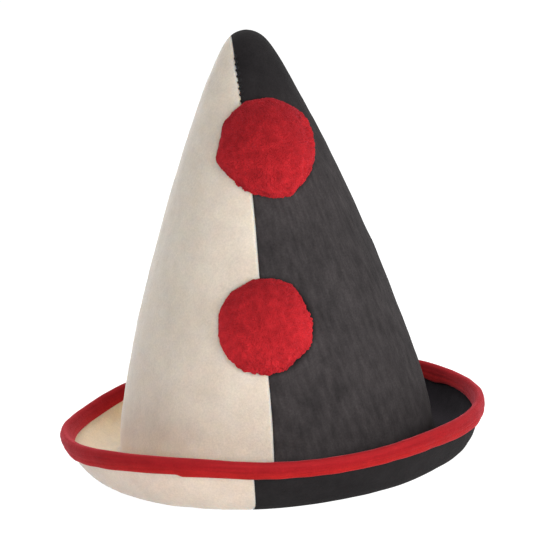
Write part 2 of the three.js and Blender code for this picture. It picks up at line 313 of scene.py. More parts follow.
class NodeBoard:
    """A material's node tree, with short ways to add what the finishes need."""

    stroke_noise = Noise(1.0, 2.0)
    # Share of the glow-through distance that red, green and blue light travel
    glow_colours: Colour = (1.0, 0.72, 0.5)

    def __init__(self, name: str) -> None:
        """Starts an empty tree for a new material.

        Args:
            name: Name of the material.
        """
        self.material = bpy.data.materials.new(name)
        self.material.use_nodes = True
        self.tree = self.material.node_tree
        self.tree.nodes.clear()

    def put(self, value: object, target: Socket) -> None:
        """Links a socket to an input, or sets a plain value there.

        Args:
            value: A socket, a colour or another plain value.
            target: The input.
        """
        if isinstance(value, Socket):
            self.tree.links.new(value, target)
        elif target.type == "RGBA":
            target.default_value = (*value, 1.0)
        else:
            target.default_value = value

    def add(self, kind: str, output: str, *values: object, **named: object) -> Socket:
        """Adds a node.

        Args:
            kind: Kind of node.
            output: Name of the output that is wanted.
            *values: What goes to its first inputs, in order.
            **named: Its properties and, under names with a capital, what goes to other inputs; an
                underscore in such a name stands for a space.

        Returns:
            The output.
        """
        node = self.tree.nodes.new(f"ShaderNode{kind}")
        for name, value in named.items():
            if name[0].isupper():
                self.put(value, node.inputs[name.replace("_", " ")])
            else:
                setattr(node, name, value)
        for value, target in zip(values, node.inputs):
            self.put(value, target)
        return node.outputs[output]

    def object_place(self) -> Socket:
        """The point's place on the piece."""
        return self.add("TexCoord", "Object")

    def mark(self, name: str) -> Socket:
        """A named value that the mesh holds at each point."""
        return self.add("Attribute", "Fac", attribute_name=name)

    def noise(self, place: Socket, noise: Noise) -> Socket:
        """Cloudy noise at a place, from 0 to 1."""
        inputs = {"Scale": noise.scale, "Detail": noise.detail, "Roughness": noise.roughness}
        return self.add("TexNoise", "Fac", Vector=place, **inputs)

    def strokes(self, strokes: Strokes) -> Socket:
        """Noise that is drawn out over the unrolled surface.

        Args:
            strokes: Its cells and its lean.

        Returns:
            Values from 0 to 1.
        """
        flat = self.add("UVMap", "UV", uv_map="flat")
        cell = (1 / strokes.across, 1 / strokes.along, 1.0)
        turned = {"vector_type": "TEXTURE", "Rotation": (0.0, 0.0, strokes.lean), "Scale": cell}
        return self.noise(self.add("Mapping", "Vector", Vector=flat, **turned), self.stroke_noise)

    def distance(self, place: Socket, spot: Array) -> Socket:
        """How far a place is from a fixed spot."""
        return self.add("VectorMath", "Value", place, tuple(spot), operation="DISTANCE")

    def spread(self, value: Socket, span: Span, to_span: Span = (0.0, 1.0)) -> Socket:
        """A value whose range is spread or squeezed to another one."""
        return self.add("MapRange", "Result", value, *span, *to_span)

    def uneven(self, noise: Socket, share: float) -> Socket:
        """A noise as values round 1, up to a share more or less."""
        return self.spread(noise, NOISE_SPAN, (1.0 - share, 1.0 + share))

    def sum(self, first: Socket, second: Socket, share: float) -> Socket:
        """The first value plus a share of the second."""
        return self.add("Math", "Value", second, share, first, operation="MULTIPLY_ADD")

    def product(self, first: Socket, second: Socket) -> Socket:
        """The product of two values."""
        return self.add("Math", "Value", first, second, operation="MULTIPLY")

    def mix(
        self, factor: Socket | float, first: Socket | Colour, second: Socket | Colour, blend: str = "MIX"
    ) -> Socket:
        """Two colours, mixed.

        Args:
            factor: How far the second colour takes over.
            first: A colour.
            second: Another one.
            blend: The way of mixing.

        Returns:
            The mixed colour.
        """
        node = self.tree.nodes.new("ShaderNodeMix")
        node.data_type = "RGBA"
        node.blend_type = blend
        colours = [socket for socket in node.inputs if socket.type == "RGBA"]
        for value, target in zip((factor, first, second), (node.inputs[0], *colours)):
            self.put(value, target)
        return next(socket for socket in node.outputs if socket.type == "RGBA")

    def shade(self, colour: Socket, value: Socket) -> Socket:
        """A colour made darker or lighter by a value."""
        grey = self.add("CombineColor", "Color", value, value, value)
        return self.mix(1.0, colour, grey, "MULTIPLY")

    def bump(self, height: Socket, relief: Relief, below: Socket | None = None) -> Socket:
        """A bumped normal.

        Args:
            height: Height of the bumps.
            relief: Their depth and strength.
            below: Another bumped normal on which they stand, if there is one.

        Returns:
            The normal.
        """
        inputs = {"Height": height, "Distance": relief.depth, "Strength": relief.strength}
        if below is not None:
            inputs["Normal"] = below
        return self.add("Bump", "Normal", **inputs)

    def ended(self, surface: Socket) -> bpy.types.Material:
        """Ends the tree in a surface.

        Args:
            surface: What the surface is like.

        Returns:
            The finished material.
        """
        output = self.tree.nodes.new("ShaderNodeOutputMaterial")
        self.put(surface, output.inputs["Surface"])
        return self.material

    def cloth(
        self, colour: Socket, normal: Socket, roughness: float, sheen: Sheen, glow_through: float = 0.0
    ) -> bpy.types.Material:
        """Ends the tree in a dull fabric surface.

        Args:
            colour: Colour all over the surface.
            normal: Bumped normal.
            roughness: Roughness of the surface.
            sheen: Soft light on the standing fibres.
            glow_through: How far light travels inside the fabric.

        Returns:
            The finished material.
        """
        inputs = {"Base_Color": colour, "Normal": normal, "Roughness": roughness}
        inputs |= {"Sheen_Weight": sheen.weight, "Sheen_Roughness": sheen.roughness, "Sheen_Tint": sheen.tint}
        if glow_through > 0:
            inputs |= {"Subsurface_Weight": 1.0, "Subsurface_Scale": glow_through}
            inputs["Subsurface_Radius"] = self.glow_colours
        return self.ended(self.add("BsdfPrincipled", "BSDF", Specular_IOR_Level=sheen.gloss, **inputs))


@dataclass(frozen=True)
class FeltFinish:
    """Pressed wool felt: cloudy colour, fine grain, lighter raised fibres that run down the hat and paint
    sheen, painted light in the brim's gutter and painted contact shadows round the pompoms.
    """

    name: str
    base: Colour
    cloud: Colour
    nap_and_sheen: Colour
    # Painted light in the brim's gutter, multiplied into the colour
    painted_gutter_light: Colour
    nap_share: float
    mottle_share: float
    grain_share: float
    glow_through: float
    sheen: Sheen
    # Darkest share and width of the painted contact shadow round the pompoms
    painted_shadow_shade: float
    painted_shadow_width: float = 3.5 * MM
    roughness: float = 0.95
    clouds: Noise = Noise(34.0, 3.0, 0.55)
    cloud_span: Span = (0.32, 0.68)
    streaks: Strokes = Strokes(250.0, 70.0, -0.2)
    patches: Noise = Noise(40.0, 2.0)
    patch_share: float = 0.6
    nap_span: Span = (0.24, 1.36)
    mottle: Noise = Noise(125.0, 3.0, 0.6)
    grain: Noise = Noise(900.0, 5.0, 0.65)
    fibres: tuple[Strokes, ...] = (Strokes(2600.0, 500.0, 0.5), Strokes(2600.0, 500.0, -0.7))
    fibre_share: float = 0.5
    grain_relief: Relief = Relief(0.35 * MM, 0.5)
    buckles: Noise = Noise(160.0, 3.0)
    buckle_relief: Relief = Relief(0.8 * MM, 0.35)

    def material(self, shadow_rings: list[tuple[Array, float]]) -> bpy.types.Material:
        """Builds the felt's nodes.

        The marks are 1 where lighter raised fibres paint sheen on the crown, leaving its tip and the brim
        darker, and in the brim's gutter, which is made lighter as painted light.

        Args:
            shadow_rings: Middle and inner radius of each ring of painted contact shadow round a pompom.

        Returns:
            The finished material.
        """
        board = NodeBoard(self.name)
        place = board.object_place()
        clouds = board.spread(board.noise(place, self.clouds), self.cloud_span)
        colour = board.mix(clouds, self.base, self.cloud)
        # Lighter raised fibres along streaks and patches, shown where the mesh's mark lets them: real streaks
        # whose lightness on the crown is painted sheen
        nap_and_sheen = board.sum(board.strokes(self.streaks), board.noise(place, self.patches), self.patch_share)
        nap_and_sheen = board.product(board.spread(nap_and_sheen, self.nap_span), board.mark("nap_and_sheen_mask"))
        # Painted contact shadow: a ring round each pompom where no lighter fibres show and the colour is
        # darker
        for spot, radius in shadow_rings:
            away = board.distance(place, spot)
            rim = (radius, radius + self.painted_shadow_width)
            nap_and_sheen = board.product(nap_and_sheen, board.spread(away, rim))
            colour = board.shade(colour, board.spread(away, rim, (self.painted_shadow_shade, 1.0)))
        colour = board.mix(board.spread(nap_and_sheen, (0.0, 1.0), (0.0, self.nap_share)), colour, self.nap_and_sheen)
        colour = board.shade(colour, board.uneven(board.noise(place, self.mottle), self.mottle_share))
        # Painted light: the brim's gutter is made lighter
        colour = board.mix(board.mark("gutter_light"), colour, self.painted_gutter_light, "MULTIPLY")
        grain = board.noise(place, self.grain)
        colour = board.shade(colour, board.uneven(grain, self.grain_share))
        height = grain
        for strokes in self.fibres:
            height = board.sum(height, board.strokes(strokes), self.fibre_share)
        normal = board.bump(board.noise(place, self.buckles), self.buckle_relief)
        normal = board.bump(height, self.grain_relief, normal)
        return board.cloth(colour, normal, self.roughness, self.sheen, self.glow_through)


@dataclass(frozen=True)
class TapeFinish:
    """Brushed felt tape: a fine velvety grain, ribs along it, rubbed hems, painted shade over its top and
    painted light towards its hems.
    """

    name: str
    base: Colour
    dark: Colour
    rubbed: Colour
    # Tints of painted shade over the top and painted light towards the hems
    painted_top_shade: Colour
    painted_hem_light: Colour
    sheen: Sheen
    roughness: float = 0.95
    clouds: Noise = Noise(95.0, 4.0, 0.6)
    ribs: Strokes = Strokes(45.0, 800.0)
    rib_share: float = 0.12
    rib_relief: Relief = Relief(0.4 * MM, 0.4)
    grain: Noise = Noise(1100.0, 4.0, 0.65)
    grain_share: float = 0.14
    grain_relief: Relief = Relief(0.35 * MM, 0.55)
    buckles: Noise = Noise(260.0, 3.0)
    buckle_relief: Relief = Relief(0.6 * MM, 0.35)

    def material(self) -> bpy.types.Material:
        """Builds the tape's nodes.

        The mark "rub" is 1 where the tape is rubbed, and "hem" goes from 0 at the top to 1 at the hems,
        carrying painted shade at the top and painted light at the hems.

        Returns:
            The finished material.
        """
        board = NodeBoard(self.name)
        place = board.object_place()
        clouds = board.spread(board.noise(place, self.clouds), NOISE_SPAN)
        colour = board.mix(clouds, self.base, self.dark)
        # Painted shade over the top and painted light towards the hems
        tint = board.mix(board.mark("hem"), self.painted_top_shade, self.painted_hem_light)
        colour = board.mix(1.0, colour, tint, "MULTIPLY")
        ribs = board.strokes(self.ribs)
        colour = board.shade(colour, board.uneven(ribs, self.rib_share))
        grain = board.noise(place, self.grain)
        colour = board.shade(colour, board.uneven(grain, self.grain_share))
        colour = board.mix(board.mark("rub"), colour, self.rubbed)
        normal = board.bump(board.noise(place, self.buckles), self.buckle_relief)
        normal = board.bump(ribs, self.rib_relief, normal)
        normal = board.bump(grain, self.grain_relief, normal)
        return board.cloth(colour, normal, self.roughness, self.sheen)


@dataclass(frozen=True)
class YarnFinish:
    """Dense cut yarn: painted shade darker between the tufts, each tuft of its own tone."""

    name: str
    # Colours at the tufts' roots and tips: the darker roots are painted shade between the tufts
    root: Colour
    tip: Colour
    pale: Colour
    sheen: Sheen
    roughness: float = 0.95
    tone_share: float = 0.22
    clouds: Noise = Noise(120.0, 3.0)
    cloud_tones: Span = (0.86, 1.12)
    flecks: Noise = Noise(260.0, 1.0)
    fleck_share: float = 0.14
    fibres: Noise = Noise(1800.0, 3.0)
    fibre_relief: Relief = Relief(0.25 * MM, 0.35)

    def material(self) -> bpy.types.Material:
        """Builds the yarn's nodes.

        The marks are the height in the pile, which paints shade darker at the roots, each tuft's tone and the
        painted light over the whole ball.

        Returns:
            The finished material.
        """
        board = NodeBoard(self.name)
        place = board.object_place()
        # Painted shade: darker towards the roots of the tufts
        colour = board.mix(board.mark("pile"), self.root, self.tip)
        pale = board.spread(board.mark("tone"), (0.0, 1.0), (0.0, self.tone_share))
        colour = board.mix(pale, colour, self.pale)
        clouds = board.spread(board.noise(place, self.clouds), NOISE_SPAN, self.cloud_tones)
        flecks = board.uneven(board.noise(place, self.flecks), self.fleck_share)
        # Cloud and fleck variation at random, times the painted light over the whole ball
        tones_and_painted_light = board.product(board.product(clouds, flecks), board.mark("painted_light"))
        normal = board.bump(board.noise(place, self.fibres), self.fibre_relief)
        return board.cloth(board.shade(colour, tones_and_painted_light), normal, self.roughness, self.sheen)


@dataclass(frozen=True)
class ThreadFinish:
    """Twisted sewing thread."""

    name: str
    base: Colour
    light: Colour
    sheen: Sheen
    roughness: float = 0.7
    twist: Noise = Noise(2400.0, 2.0)
    twist_relief: Relief = Relief(0.1 * MM, 0.6)

    def material(self) -> bpy.types.Material:
        """Builds the thread's nodes.

        Returns:
            The finished material.
        """
        board = NodeBoard(self.name)
        twist = board.noise(board.object_place(), self.twist)
        colour = board.mix(twist, self.base, self.light)
        return board.cloth(colour, board.bump(twist, self.twist_relief), self.roughness, self.sheen)


@dataclass(frozen=True)
class HatForm:
    """The felt body that every piece follows: crown, fold and brim, measured on the outer face.

    A place on it is a station along the section, from the tip (0) over the tip's arc, the side (1 to 2),
    the fold (2 to 3), the rest ring (3 to 4) and the flank (4 to 5), and a turn round the hat, which
    starts at the right and runs anticlockwise seen from above.
    """

    felt: float = 2.2 * MM
    height: float = 254 * MM
    foot_half_width: float = 93.4 * MM
    foot_half_depth: float = 102.4 * MM
    tip_radius: float = 15.2 * MM
    tip_turn: float = math.radians(45)
    tip_pull: float = 26 * MM
    foot_pull: float = 50 * MM
    fold_radius: float = 8 * MM
    rest_width: float = 3 * MM
    crown_shift: float = 2.3 * MM
    # Rise and reach of the brim's edge in millimetres, and swell of its flank, each sixteenth of a turn
    brim_rows: tuple[tuple[float, float, float], ...] = (
        (26.3, 26.9, 0.73), (25.3, 27.6, 0.74), (26.2, 28.1, 0.71), (27.6, 28.5, 0.69),
        (28.5, 29.2, 0.68), (27.5, 29.9, 0.67), (25.7, 30.6, 0.66), (22.2, 31.1, 0.67),
        (24.0, 31.0, 0.63), (27.4, 30.7, 0.57), (31.7, 30.6, 0.61), (32.9, 30.2, 0.68),
        (29.6, 29.3, 0.50), (28.8, 28.4, 0.44), (29.6, 27.2, 0.50), (27.8, 26.5, 0.76),
    )
    # Distance behind the crown's middle and offset to the right of it of the seam, in millimetres
    seam_rows: tuple[Span, ...] = (
        (-150, -13.5), (-122, -14.2), (-112, -16.2), (-102, -2.8), (-80, -2.7), (-56, -2.9),
        (-31, -5.4), (-14, -7.8), (0, -8.5), (20, -7.2), (56, -2.9), (150, -2.7),
    )
    seam_steps: int = 40
    seam_corrections: int = 12
    width_steps: int = 600
    # The arch under the front of the brim: the station where it starts, how fast it comes and goes along
    # the section, and its share at the sides and in front
    arch_height: float = 0.9 * MM
    arch_start: float = 2.4
    arch_coming: float = 0.6
    arch_going: float = 0.9
    arch_sides: float = 0.3
    arch_front: float = 1.1

    @property
    def rest_end(self) -> float:
        """Radius at which the rest ring ends and the flank starts."""
        return self.foot_half_width + self.fold_radius + self.rest_width

    @property
    def oval(self) -> float:
        """The crown's depth over its width."""
        return self.foot_half_depth / self.foot_half_width

    def brim(self, turn: Array) -> tuple[Array, Array, Array]:
        """Rise, reach and swell of the brim at a turn, by a closed Catmull-Rom curve through the rows."""
        curve = closed_curve(np.array(self.brim_rows) * (MM, MM, 1.0), turn)
        return curve[..., 0], curve[..., 1], curve[..., 2]

    def flank(self, share: Array, turn: Array) -> tuple[Array, Array, Array, Array]:
        """The flank's quadratic Bezier from the rest ring, along the floor for a swell, up to the edge.

        Args:
            share: Way along the curve, from 0 to 1.
            turn: Turn round the hat.

        Returns:
            Radius, height, and the two parts of the direction of travel, not yet of length 1.
        """
        rise, reach, swell = self.brim(turn)
        start = self.rest_end
        edge = self.foot_half_width + reach
        knee = start + swell * (edge - start)
        rest = 1 - share
        radius = rest**2 * start + 2 * rest * share * knee + share**2 * edge
        height = self.felt + share**2 * (rise - self.felt)
        along_radius = 2 * rest * (knee - start) + 2 * share * (edge - knee)
        along_height = 2 * share * (rise - self.felt)
        return radius, height, along_radius, along_height

    def side(self, share: Array) -> tuple[Array, Array, Array, Array]:
        """The crown's side, a cubic Bezier that leaves the tip's arc and stands upright at the foot.

        Args:
            share: Way along the curve, from 0 to 1.

        Returns:
            Radius, height, and the two parts of the direction of travel.
        """
        lean = np.array([math.cos(self.tip_turn), -math.sin(self.tip_turn)])
        top = np.array([
            self.tip_radius * math.sin(self.tip_turn),
            self.height - self.tip_radius * (1 - math.cos(self.tip_turn)),
        ])
        foot = np.array([self.foot_half_width, self.felt + self.fold_radius])
        pulls = [top, top + self.tip_pull * lean, foot + (0, self.foot_pull), foot]
        share = np.asarray(share)[..., None]
        rest = 1 - share
        spot = rest**3 * pulls[0] + 3 * rest**2 * share * pulls[1]
        spot = spot + 3 * rest * share**2 * pulls[2] + share**3 * pulls[3]
        along = rest**2 * (pulls[1] - pulls[0]) + 2 * rest * share * (pulls[2] - pulls[1])
        along = along + share**2 * (pulls[3] - pulls[2])
        return spot[..., 0], spot[..., 1], along[..., 0], along[..., 1]

    def section(self, station: Array, turn: Array) -> tuple[Array, Array, Array, Array]:
        """Radius and height of the outer face and the direction of travel, of length 1.

        Each place is read from the one of the five curves that its station falls on.

        Args:
            station: Place along the section, from 0 to 5.
            turn: Turn round the hat.

        Returns:
            Radius, height, and the direction's parts along radius and height.
        """
        station, turn = np.broadcast_arrays(station, turn)
        curve = np.clip(station.astype(int), 0, 4)
        share = station - curve
        tip = share * self.tip_turn
        fold = math.pi * (1 + share / 2)
        fold_end = self.foot_half_width + self.fold_radius
        ones, zeros = np.ones_like(share), np.zeros_like(share)
        tip_height = self.height - self.tip_radius * (1 - np.cos(tip))
        fold_height = self.felt + self.fold_radius * (1 + np.sin(fold))
        curves = [
            (self.tip_radius * np.sin(tip), tip_height, np.cos(tip), -np.sin(tip)),
            self.side(share),
            (fold_end + self.fold_radius * np.cos(fold), fold_height, -np.sin(fold), np.cos(fold)),
            (fold_end + share * self.rest_width, self.felt * ones, ones, zeros),
            self.flank(share, turn),
        ]
        stacked = np.stack([np.stack(parts, axis=-1) for parts in curves])
        chosen = np.take_along_axis(stacked, curve[None, ..., None], axis=0)[0]
        chosen[..., 2:] = unit(chosen[..., 2:])
        return tuple(np.moveaxis(chosen, -1, 0))

    def place(self, radius: Array, height: Array, turn: Array) -> Array:
        """A section's point on the oval hat: the crown is stretched in depth, the brim keeps its reach.

        Args:
            radius: Radius on the section.
            height: Height over the floor.
            turn: Turn round the hat.

        Returns:
            The point's x, y, z in the last axis.
        """
        inside = radius * self.oval
        beyond = radius + self.foot_half_depth - self.foot_half_width
        depth = np.where(radius < self.foot_half_width, inside, beyond)
        return np.stack([self.crown_shift + radius * np.cos(turn), depth * np.sin(turn), height], axis=-1)

    def surface(self, station: Array, turn: Array, sunk: Array | float = 0.0) -> Array:
        """The outer face, sunk into the felt by a distance across the section."""
        radius, height, along_radius, along_height = self.section(station, turn)
        return self.place(radius + sunk * along_height, height - sunk * along_radius, turn)

    def edge(self, turn: Array) -> Array:
        """The end of the outer face at the brim's edge."""
        return self.surface(np.full_like(turn, 5.0), turn)

    def arch(self, station: Array, turn: Array) -> Array:
        """How far the soft felt arches off the floor under the front of the brim.

        Args:
            station: Place along the section.
            turn: Turn round the hat.

        Returns:
            The height of the arch, which eases in and out along the section and towards the back.
        """
        along = smooth_step((station - self.arch_start) / self.arch_coming)
        along = along * smooth_step((5 - station) / self.arch_going)
        return self.arch_height * along * smooth_step(self.arch_sides - self.arch_front * np.sin(turn))

    def seam_aside(self, behind: Array) -> Array:
        """Offset of the seam, on a Catmull-Rom curve through the rows.

        Args:
            behind: Distance behind the crown's middle.

        Returns:
            The offset to the right.
        """
        rows = np.array(self.seam_rows) * MM
        padded = np.concatenate([rows[:1], rows, rows[-1:]])
        step = np.linspace(0, len(rows) - 1, self.seam_steps * len(rows))
        here = np.minimum(step.astype(int), len(rows) - 2)
        curve = between(*(padded[here + shift] for shift in range(4)), (step - here)[:, None])
        return np.interp(behind, curve[:, 0], curve[:, 1])

    def seam_turn(self, station: Array, front: bool, beside: float = 0.0) -> Array:
        """The turn at which the seam crosses the outer face, found by repeated correction.

        Args:
            station: Places along the section.
            front: On the hat's front, or else on its back.
            beside: Distance to the right of the seam.

        Returns:
            The turn at each station; half a turn where the seam passes outside the narrow tip.
        """
        sign = -1.0 if front else 1.0
        turn = np.full(np.shape(station), sign * math.pi / 2)
        for _ in range(self.seam_corrections):
            radius, height, _, _ = self.section(station, turn)
            spot = self.place(radius, height, turn)
            aside = self.seam_aside(spot[..., 1]) + beside
            turn = sign * np.arccos(np.clip(aside / np.maximum(radius, TINY), -1, 1))
        return turn

    def crown_half_width(self, height: Array) -> Array:
        """Half width of the crown's outer face.

        Args:
            height: Heights over the floor.

        Returns:
            The half width at each height, read between close sections.
        """
        station = np.linspace(0, 2, self.width_steps)
        radius, level, _, _ = self.section(station, np.zeros_like(station))
        return np.interp(height, level[::-1], radius[::-1])


class Side(Enum):
    """The two felts, by the name of the node that each stands for."""

    CREAM = "felt_cream"
    BLACK = "felt_black"


@dataclass
class FeltHalf:
    """One felt of the hat, a closed wall from the seam on the front round to the seam on the back."""

    form: HatForm
    side: Side
    slot: str
    finish: FeltFinish
    pompoms: list["Pompom"]
    gap: float = -0.1 * MM
    cap_rows: int = 9
    tip_rows: int = 14
    side_rows: int = 104
    fold_rows: int = 12
    rest_rows: int = 3
    flank_rows: int = 24
    columns: int = 104
    # Columns close to the seam, as distances from it in millimetres
    seam_columns: tuple[float, ...] = (0, 0.2, 0.5, 0.9, 1.4, 2.1, 3.2)
    seam_dip: float = 0.75 * MM
    inside_dip: float = 0.2 * MM
    seam_softness: float = 0.8 * MM
    # Rows over which the dip comes at the seam's upper end
    seam_start_rows: float = 6.0
    waves: tuple[Wave, ...] = (Wave(0.22 * MM, 70 * MM, 11), Wave(0.07 * MM, 16 * MM, 12))
    # Stations round which the waves die down, on the rest ring and at the tip
    calm_station: float = 3.5
    calm_reach: float = 0.9
    tip_reach: float = 1.4
    # Shallow dents of the crown: turn and spread in degrees, height, spread and depth in millimetres
    dents: tuple[tuple[float, float, float, float, float], ...] = (
        (0, 55, 212, 28, 1.5),
        (0, 40, 134, 14, 0.5),
        (180, 55, 150, 38, 0.45),
    )
    # A crease across the flank at the left
    crease_turn: float = math.radians(180)
    crease_width: float = math.radians(2.2)
    crease_depth: float = 1.1 * MM
    crease_start: float = 4.05
    crease_coming: float = 0.4
    # Lighter raised fibres paint sheen on the crown below this height; from this station on, the brim's
    # gutter gets painted light
    sheen_mask_height: float = 235 * MM
    sheen_mask_fade: float = 55 * MM
    gutter_light_start: float = 2.6
    gutter_light_coming: float = 0.8

    def stations(self) -> tuple[Array, int]:
        """Rows of the wall, close together where the seam meets the tip.

        Returns:
            The stations, and the number of the first row that the seam crosses.
        """
        black = self.side is Side.BLACK
        reach = -float(self.form.seam_aside(0.0)) - (self.gap if black else 0.0)
        start = math.asin(reach / self.form.tip_radius) / self.form.tip_turn
        cap = np.linspace(0, start, self.cap_rows)[: -1 if black else 0]
        parts = [cap, start + (1 - start) * np.linspace(0, 1, self.tip_rows) ** 2]
        rows = (self.side_rows, self.fold_rows, self.rest_rows, self.flank_rows)
        for curve, count in enumerate(rows, start=1):
            parts.append(curve + np.linspace(0, 1, count)[1:])
        return np.concatenate(parts), len(cap)

    def spans(self, station: Array) -> tuple[Array, Array]:
        """The turns between which each row runs.

        Args:
            station: Stations of the rows.

        Returns:
            The turns at which the rows start, and those at which they end.
        """
        beside = self.gap if self.side is Side.BLACK else 0.0
        front = self.form.seam_turn(station, True, beside)
        back = self.form.seam_turn(station, False, beside)
        return (front, back) if self.side is Side.BLACK else (back, front + FULL_TURN)

    def shares(self, length: Array) -> Array:
        """How far along each row its points lie: close together at both ends, even in between.

        In a row that is too short for this, the close points take up a quarter at each end.

        Args:
            length: Length of each row.

        Returns:
            One row of shares for each length.
        """
        steps = np.array(self.seam_columns) * MM
        scale = np.minimum(1 / np.maximum(length, TINY), 1 / (4 * steps[-1]))[:, None]
        near = steps[None, :] * scale
        even = np.linspace(0, 1, self.columns)[None, 1:-1]
        middle = near[:, -1:] + (1 - 2 * near[:, -1:]) * even
        return side_by_side(near, middle, 1 - near[:, ::-1])

    def lift(self, station: Array, turn: Array, spot: Array) -> Array:
        """How far the whole wall stands out of its plain form: waves, crease, dents and the brim's arch.

        Args:
            station: Places along the section.
            turn: Turns round the hat.
            spot: The same places on the plain form.

        Returns:
            One distance for each place.
        """
        calm = smooth_step(np.abs(station - self.calm_station) / self.calm_reach)
        calm = calm * smooth_step(station / self.tip_reach)
        crease = bell(turn_between(turn, self.crease_turn), self.crease_width)
        crease = crease * smooth_step((station - self.crease_start) / self.crease_coming)
        lift = calm * sum(wave.at(spot) for wave in self.waves) - self.crease_depth * crease
        for middle, spread, height, reach, depth in self.dents:
            dent = bell(turn_between(turn, math.radians(middle)), math.radians(spread))
            lift = lift - depth * MM * dent * bell(spot[..., 2] - height * MM, reach * MM)
        return lift + self.form.arch(station, turn)

    def skin(self) -> Skin:
        """The wall's outer face, the felt's cut edge, the inner face and the two faces along the seam.

        Rows run down the outer face from the tip to the edge and back up the inner face, which lies a
        felt's thickness under the outer one. Both faces dip where they meet the seam.

        Returns:
            The closed wall.
        """
        station, first = self.stations()
        start, end = self.spans(station)
        radius, _, _, _ = self.form.section(station, (start + end) / 2)
        length = radius * (end - start)
        share = self.shares(length)
        turn = start[:, None] + (end - start)[:, None] * share
        rows, columns = share.shape
        level = np.broadcast_to(station[:, None], share.shape)
        crossed = smooth_step((np.arange(rows) - first + 1) / self.seam_start_rows)[:, None]
        near = np.minimum(share, 1 - share) * length[:, None]
        dip = bell(near, self.seam_softness) * crossed
        lift = self.lift(level, turn, self.form.surface(level, turn))
        outer = self.form.surface(level, turn, self.seam_dip * dip - lift)
        inner = self.form.surface(level, turn, self.form.felt - self.inside_dip * dip - lift)
        points = np.concatenate([outer, inner[::-1]])
        points[..., 2] = np.maximum(points[..., 2], 0.0)
        row = np.arange(first, rows - 1)
        twin = 2 * rows - 1 - row
        strip = np.stack([row, twin, twin - 1, row + 1], axis=-1) * columns
        faces = [grid_quads(2 * rows, columns), strip, strip[:, ::-1] + columns - 1]
        down = np.broadcast_to(distance_gone(outer[:, columns // 2])[:, None], turn.shape)
        unrolled = np.stack([turn * self.form.foot_half_width, down], axis=-1)
        # Painted light in the brim's gutter
        gutter_light = smooth_step((level - self.gutter_light_start) / self.gutter_light_coming)
        # Painted sheen where the lighter raised fibres show: on the crown, fading out towards the tip and the
        # brim
        nap_and_sheen_mask = smooth_step((self.sheen_mask_height - outer[..., 2]) / self.sheen_mask_fade)
        nap_and_sheen_mask = nap_and_sheen_mask * smooth_step((self.gutter_light_start - level) / self.gutter_light_coming)
        inside = np.zeros_like(nap_and_sheen_mask)
        return Skin(
            points.reshape(-1, 3),
            np.concatenate(faces),
            flat=np.concatenate([unrolled, unrolled[::-1]]).reshape(-1, 2),
            marks={
                "nap_and_sheen_mask": np.concatenate([nap_and_sheen_mask, inside]).ravel(),
                "gutter_light": np.concatenate([gutter_light, inside]).ravel(),
            },
        )

    def build(self) -> bpy.types.Object:
        """Makes the felt and puts it in place of its node.

        Returns:
            The finished piece.
        """
        # Rings of painted contact shadow round the pompoms
        shadow_rings = [(pompom.stand()[0], pompom.shadow_radius) for pompom in self.pompoms]
        made = self.skin().piece(f"{self.side.value}_wall", self.finish.material(shadow_rings))
        return dress(made, self.side.value)


@dataclass
class SeamStitches:
    """Zigzag stitches of dark thread over the upper end of the seam, on the front or the back."""

    form: HatForm
    front: bool
    slot: str
    finish: ThreadFinish
    lowest: float = 168 * MM
    highest: float = 242 * MM
    first_station: float = 0.6
    line_points: int = 3000
    pitch: float = 3.8 * MM
    # How sharply the zigzag turns, up to 1
    sharpness: float = 0.94
    bite: float = 1.5 * MM
    # Share of the bite at the top, which grows to the whole along the seam
    first_bite: float = 0.55
    growth: float = 16 * MM
    bias: float = 0.8 * MM
    thread: float = 0.42 * MM
    rise_share: float = 0.4
    end_share: float = 1e-4
    sides: int = 6
    rings_per_stitch: int = 14

    def skin(self) -> Skin:
        """A round thread that runs from side to side of the seam as it goes down.

        The middle line sways by a triangle wave with soft corners, close to the felt's face and more on the
        black side, so that only the turns of the thread stand on the cream felt.

        Returns:
            The closed tube.
        """
        station = np.linspace(self.first_station, 2, self.line_points)
        line = self.form.surface(station, self.form.seam_turn(station, self.front))
        kept = (line[:, 2] > self.lowest) & (line[:, 2] < self.highest)
        gone = distance_gone(line[kept])
        count = int(gone[-1] / self.pitch)
        way = np.linspace(0, count * self.pitch, count * self.rings_per_stitch)
        spot = np.interp(way, gone, station[kept])
        sway = np.arcsin(self.sharpness * np.sin(FULL_TURN * way / self.pitch)) / (math.pi / 2)
        turn = self.form.seam_turn(spot, self.front)
        radius, _, _, _ = self.form.section(spot, turn)
        handed = 1.0 if self.front else -1.0
        bite = self.bite * (self.first_bite + (1 - self.first_bite) * smooth_step(way / self.growth))
        turn = turn + handed * (bite * sway + self.bias) / radius
        middle = self.form.surface(spot, turn, -self.rise_share * self.thread)
        along = unit(np.gradient(middle, axis=0))
        across = unit(np.cross(along, self.form.surface(spot, turn, -2 * self.thread) - middle))
        out = np.cross(across, along)
        to_end = np.minimum(way, way[-1] - way) / self.thread
        thick = self.thread * np.minimum(1, to_end + self.end_share)
        points = middle[:, None] + thick[:, None, None] * rings(out, across, self.sides)
        return Skin(points.reshape(-1, 3), grid_quads(len(way), self.sides, tube=True))

    def build(self) -> bpy.types.Object:
        """Makes the stitches and lets them ride on the hat."""
        name = "seam_stitches_front" if self.front else "seam_stitches_back"
        return dress(self.skin().piece(name, self.finish.material()))


